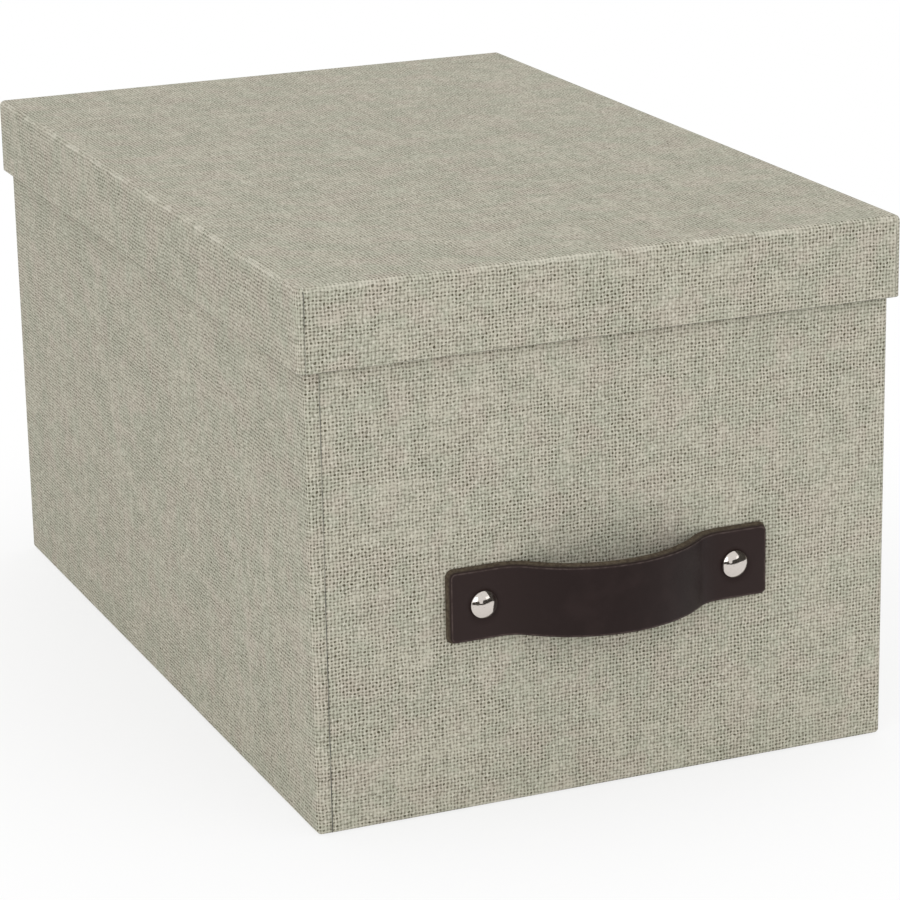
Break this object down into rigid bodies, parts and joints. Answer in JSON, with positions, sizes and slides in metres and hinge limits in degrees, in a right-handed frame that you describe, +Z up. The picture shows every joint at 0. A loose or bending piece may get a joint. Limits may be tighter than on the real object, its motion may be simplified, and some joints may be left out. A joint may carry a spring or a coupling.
{
  "type": "storage box",
  "caption": "Rigid paper-covered storage box with a telescoping lift-off lid and a bowed leather pull strap held by domed rivets on its narrow front.",
  "frame": {"origin": "centre of the underside sheet, on the surface the box stands on, midway across the body's width and length", "axes": "+Z up, the narrow front face with the pull strap faces -Y, the box's length runs along Y, +X is to the right seen from the front"},
  "size_m": [0.216, 0.3495, 0.186],
  "materials": {
    "cover_paper": "linen-textured covering paper, pale grey-beige threads with darker gaps, matt",
    "board": "solid grey board, matt",
    "stay_tape": "gummed kraft paper tape",
    "lining_paper": "smooth off-white lining paper, matt",
    "underside_paper": "smooth pale paper, matt",
    "strap_leather": "smooth dark brown leather, low sheen",
    "rivet_metal": "polished nickel plate"
  },
  "bodies": {
    "body": {"body_front_board": "board", "body_back_board": "board", "body_left_board": "board", "body_right_board": "board", "body_floor_board": "board", "body_corner_stays": "stay_tape", "body_cover": "cover_paper", "body_underside_sheet": "underside_paper", "body_floor_lining": "lining_paper", "body_wall_lining": "lining_paper", "pull_strap": "strap_leather", "rivet_cap_left": "rivet_metal", "rivet_cap_right": "rivet_metal", "rivet_post_left": "rivet_metal", "rivet_post_right": "rivet_metal", "rivet_socket_left": "rivet_metal", "rivet_socket_right": "rivet_metal", "rivet_washer_left": "rivet_metal", "rivet_washer_right": "rivet_metal"},
    "lid": {"lid_top_board": "board", "lid_front_board": "board", "lid_back_board": "board", "lid_left_board": "board", "lid_right_board": "board", "lid_corner_stays": "stay_tape", "lid_cover": "cover_paper", "lid_ceiling_lining": "lining_paper"}
  },
  "joints": [
    {"name": "lid_lift", "type": "slide", "parent": "body", "child": "lid", "axis": [0, 0, 1], "range_m": [0, 0.12]}
  ]
}
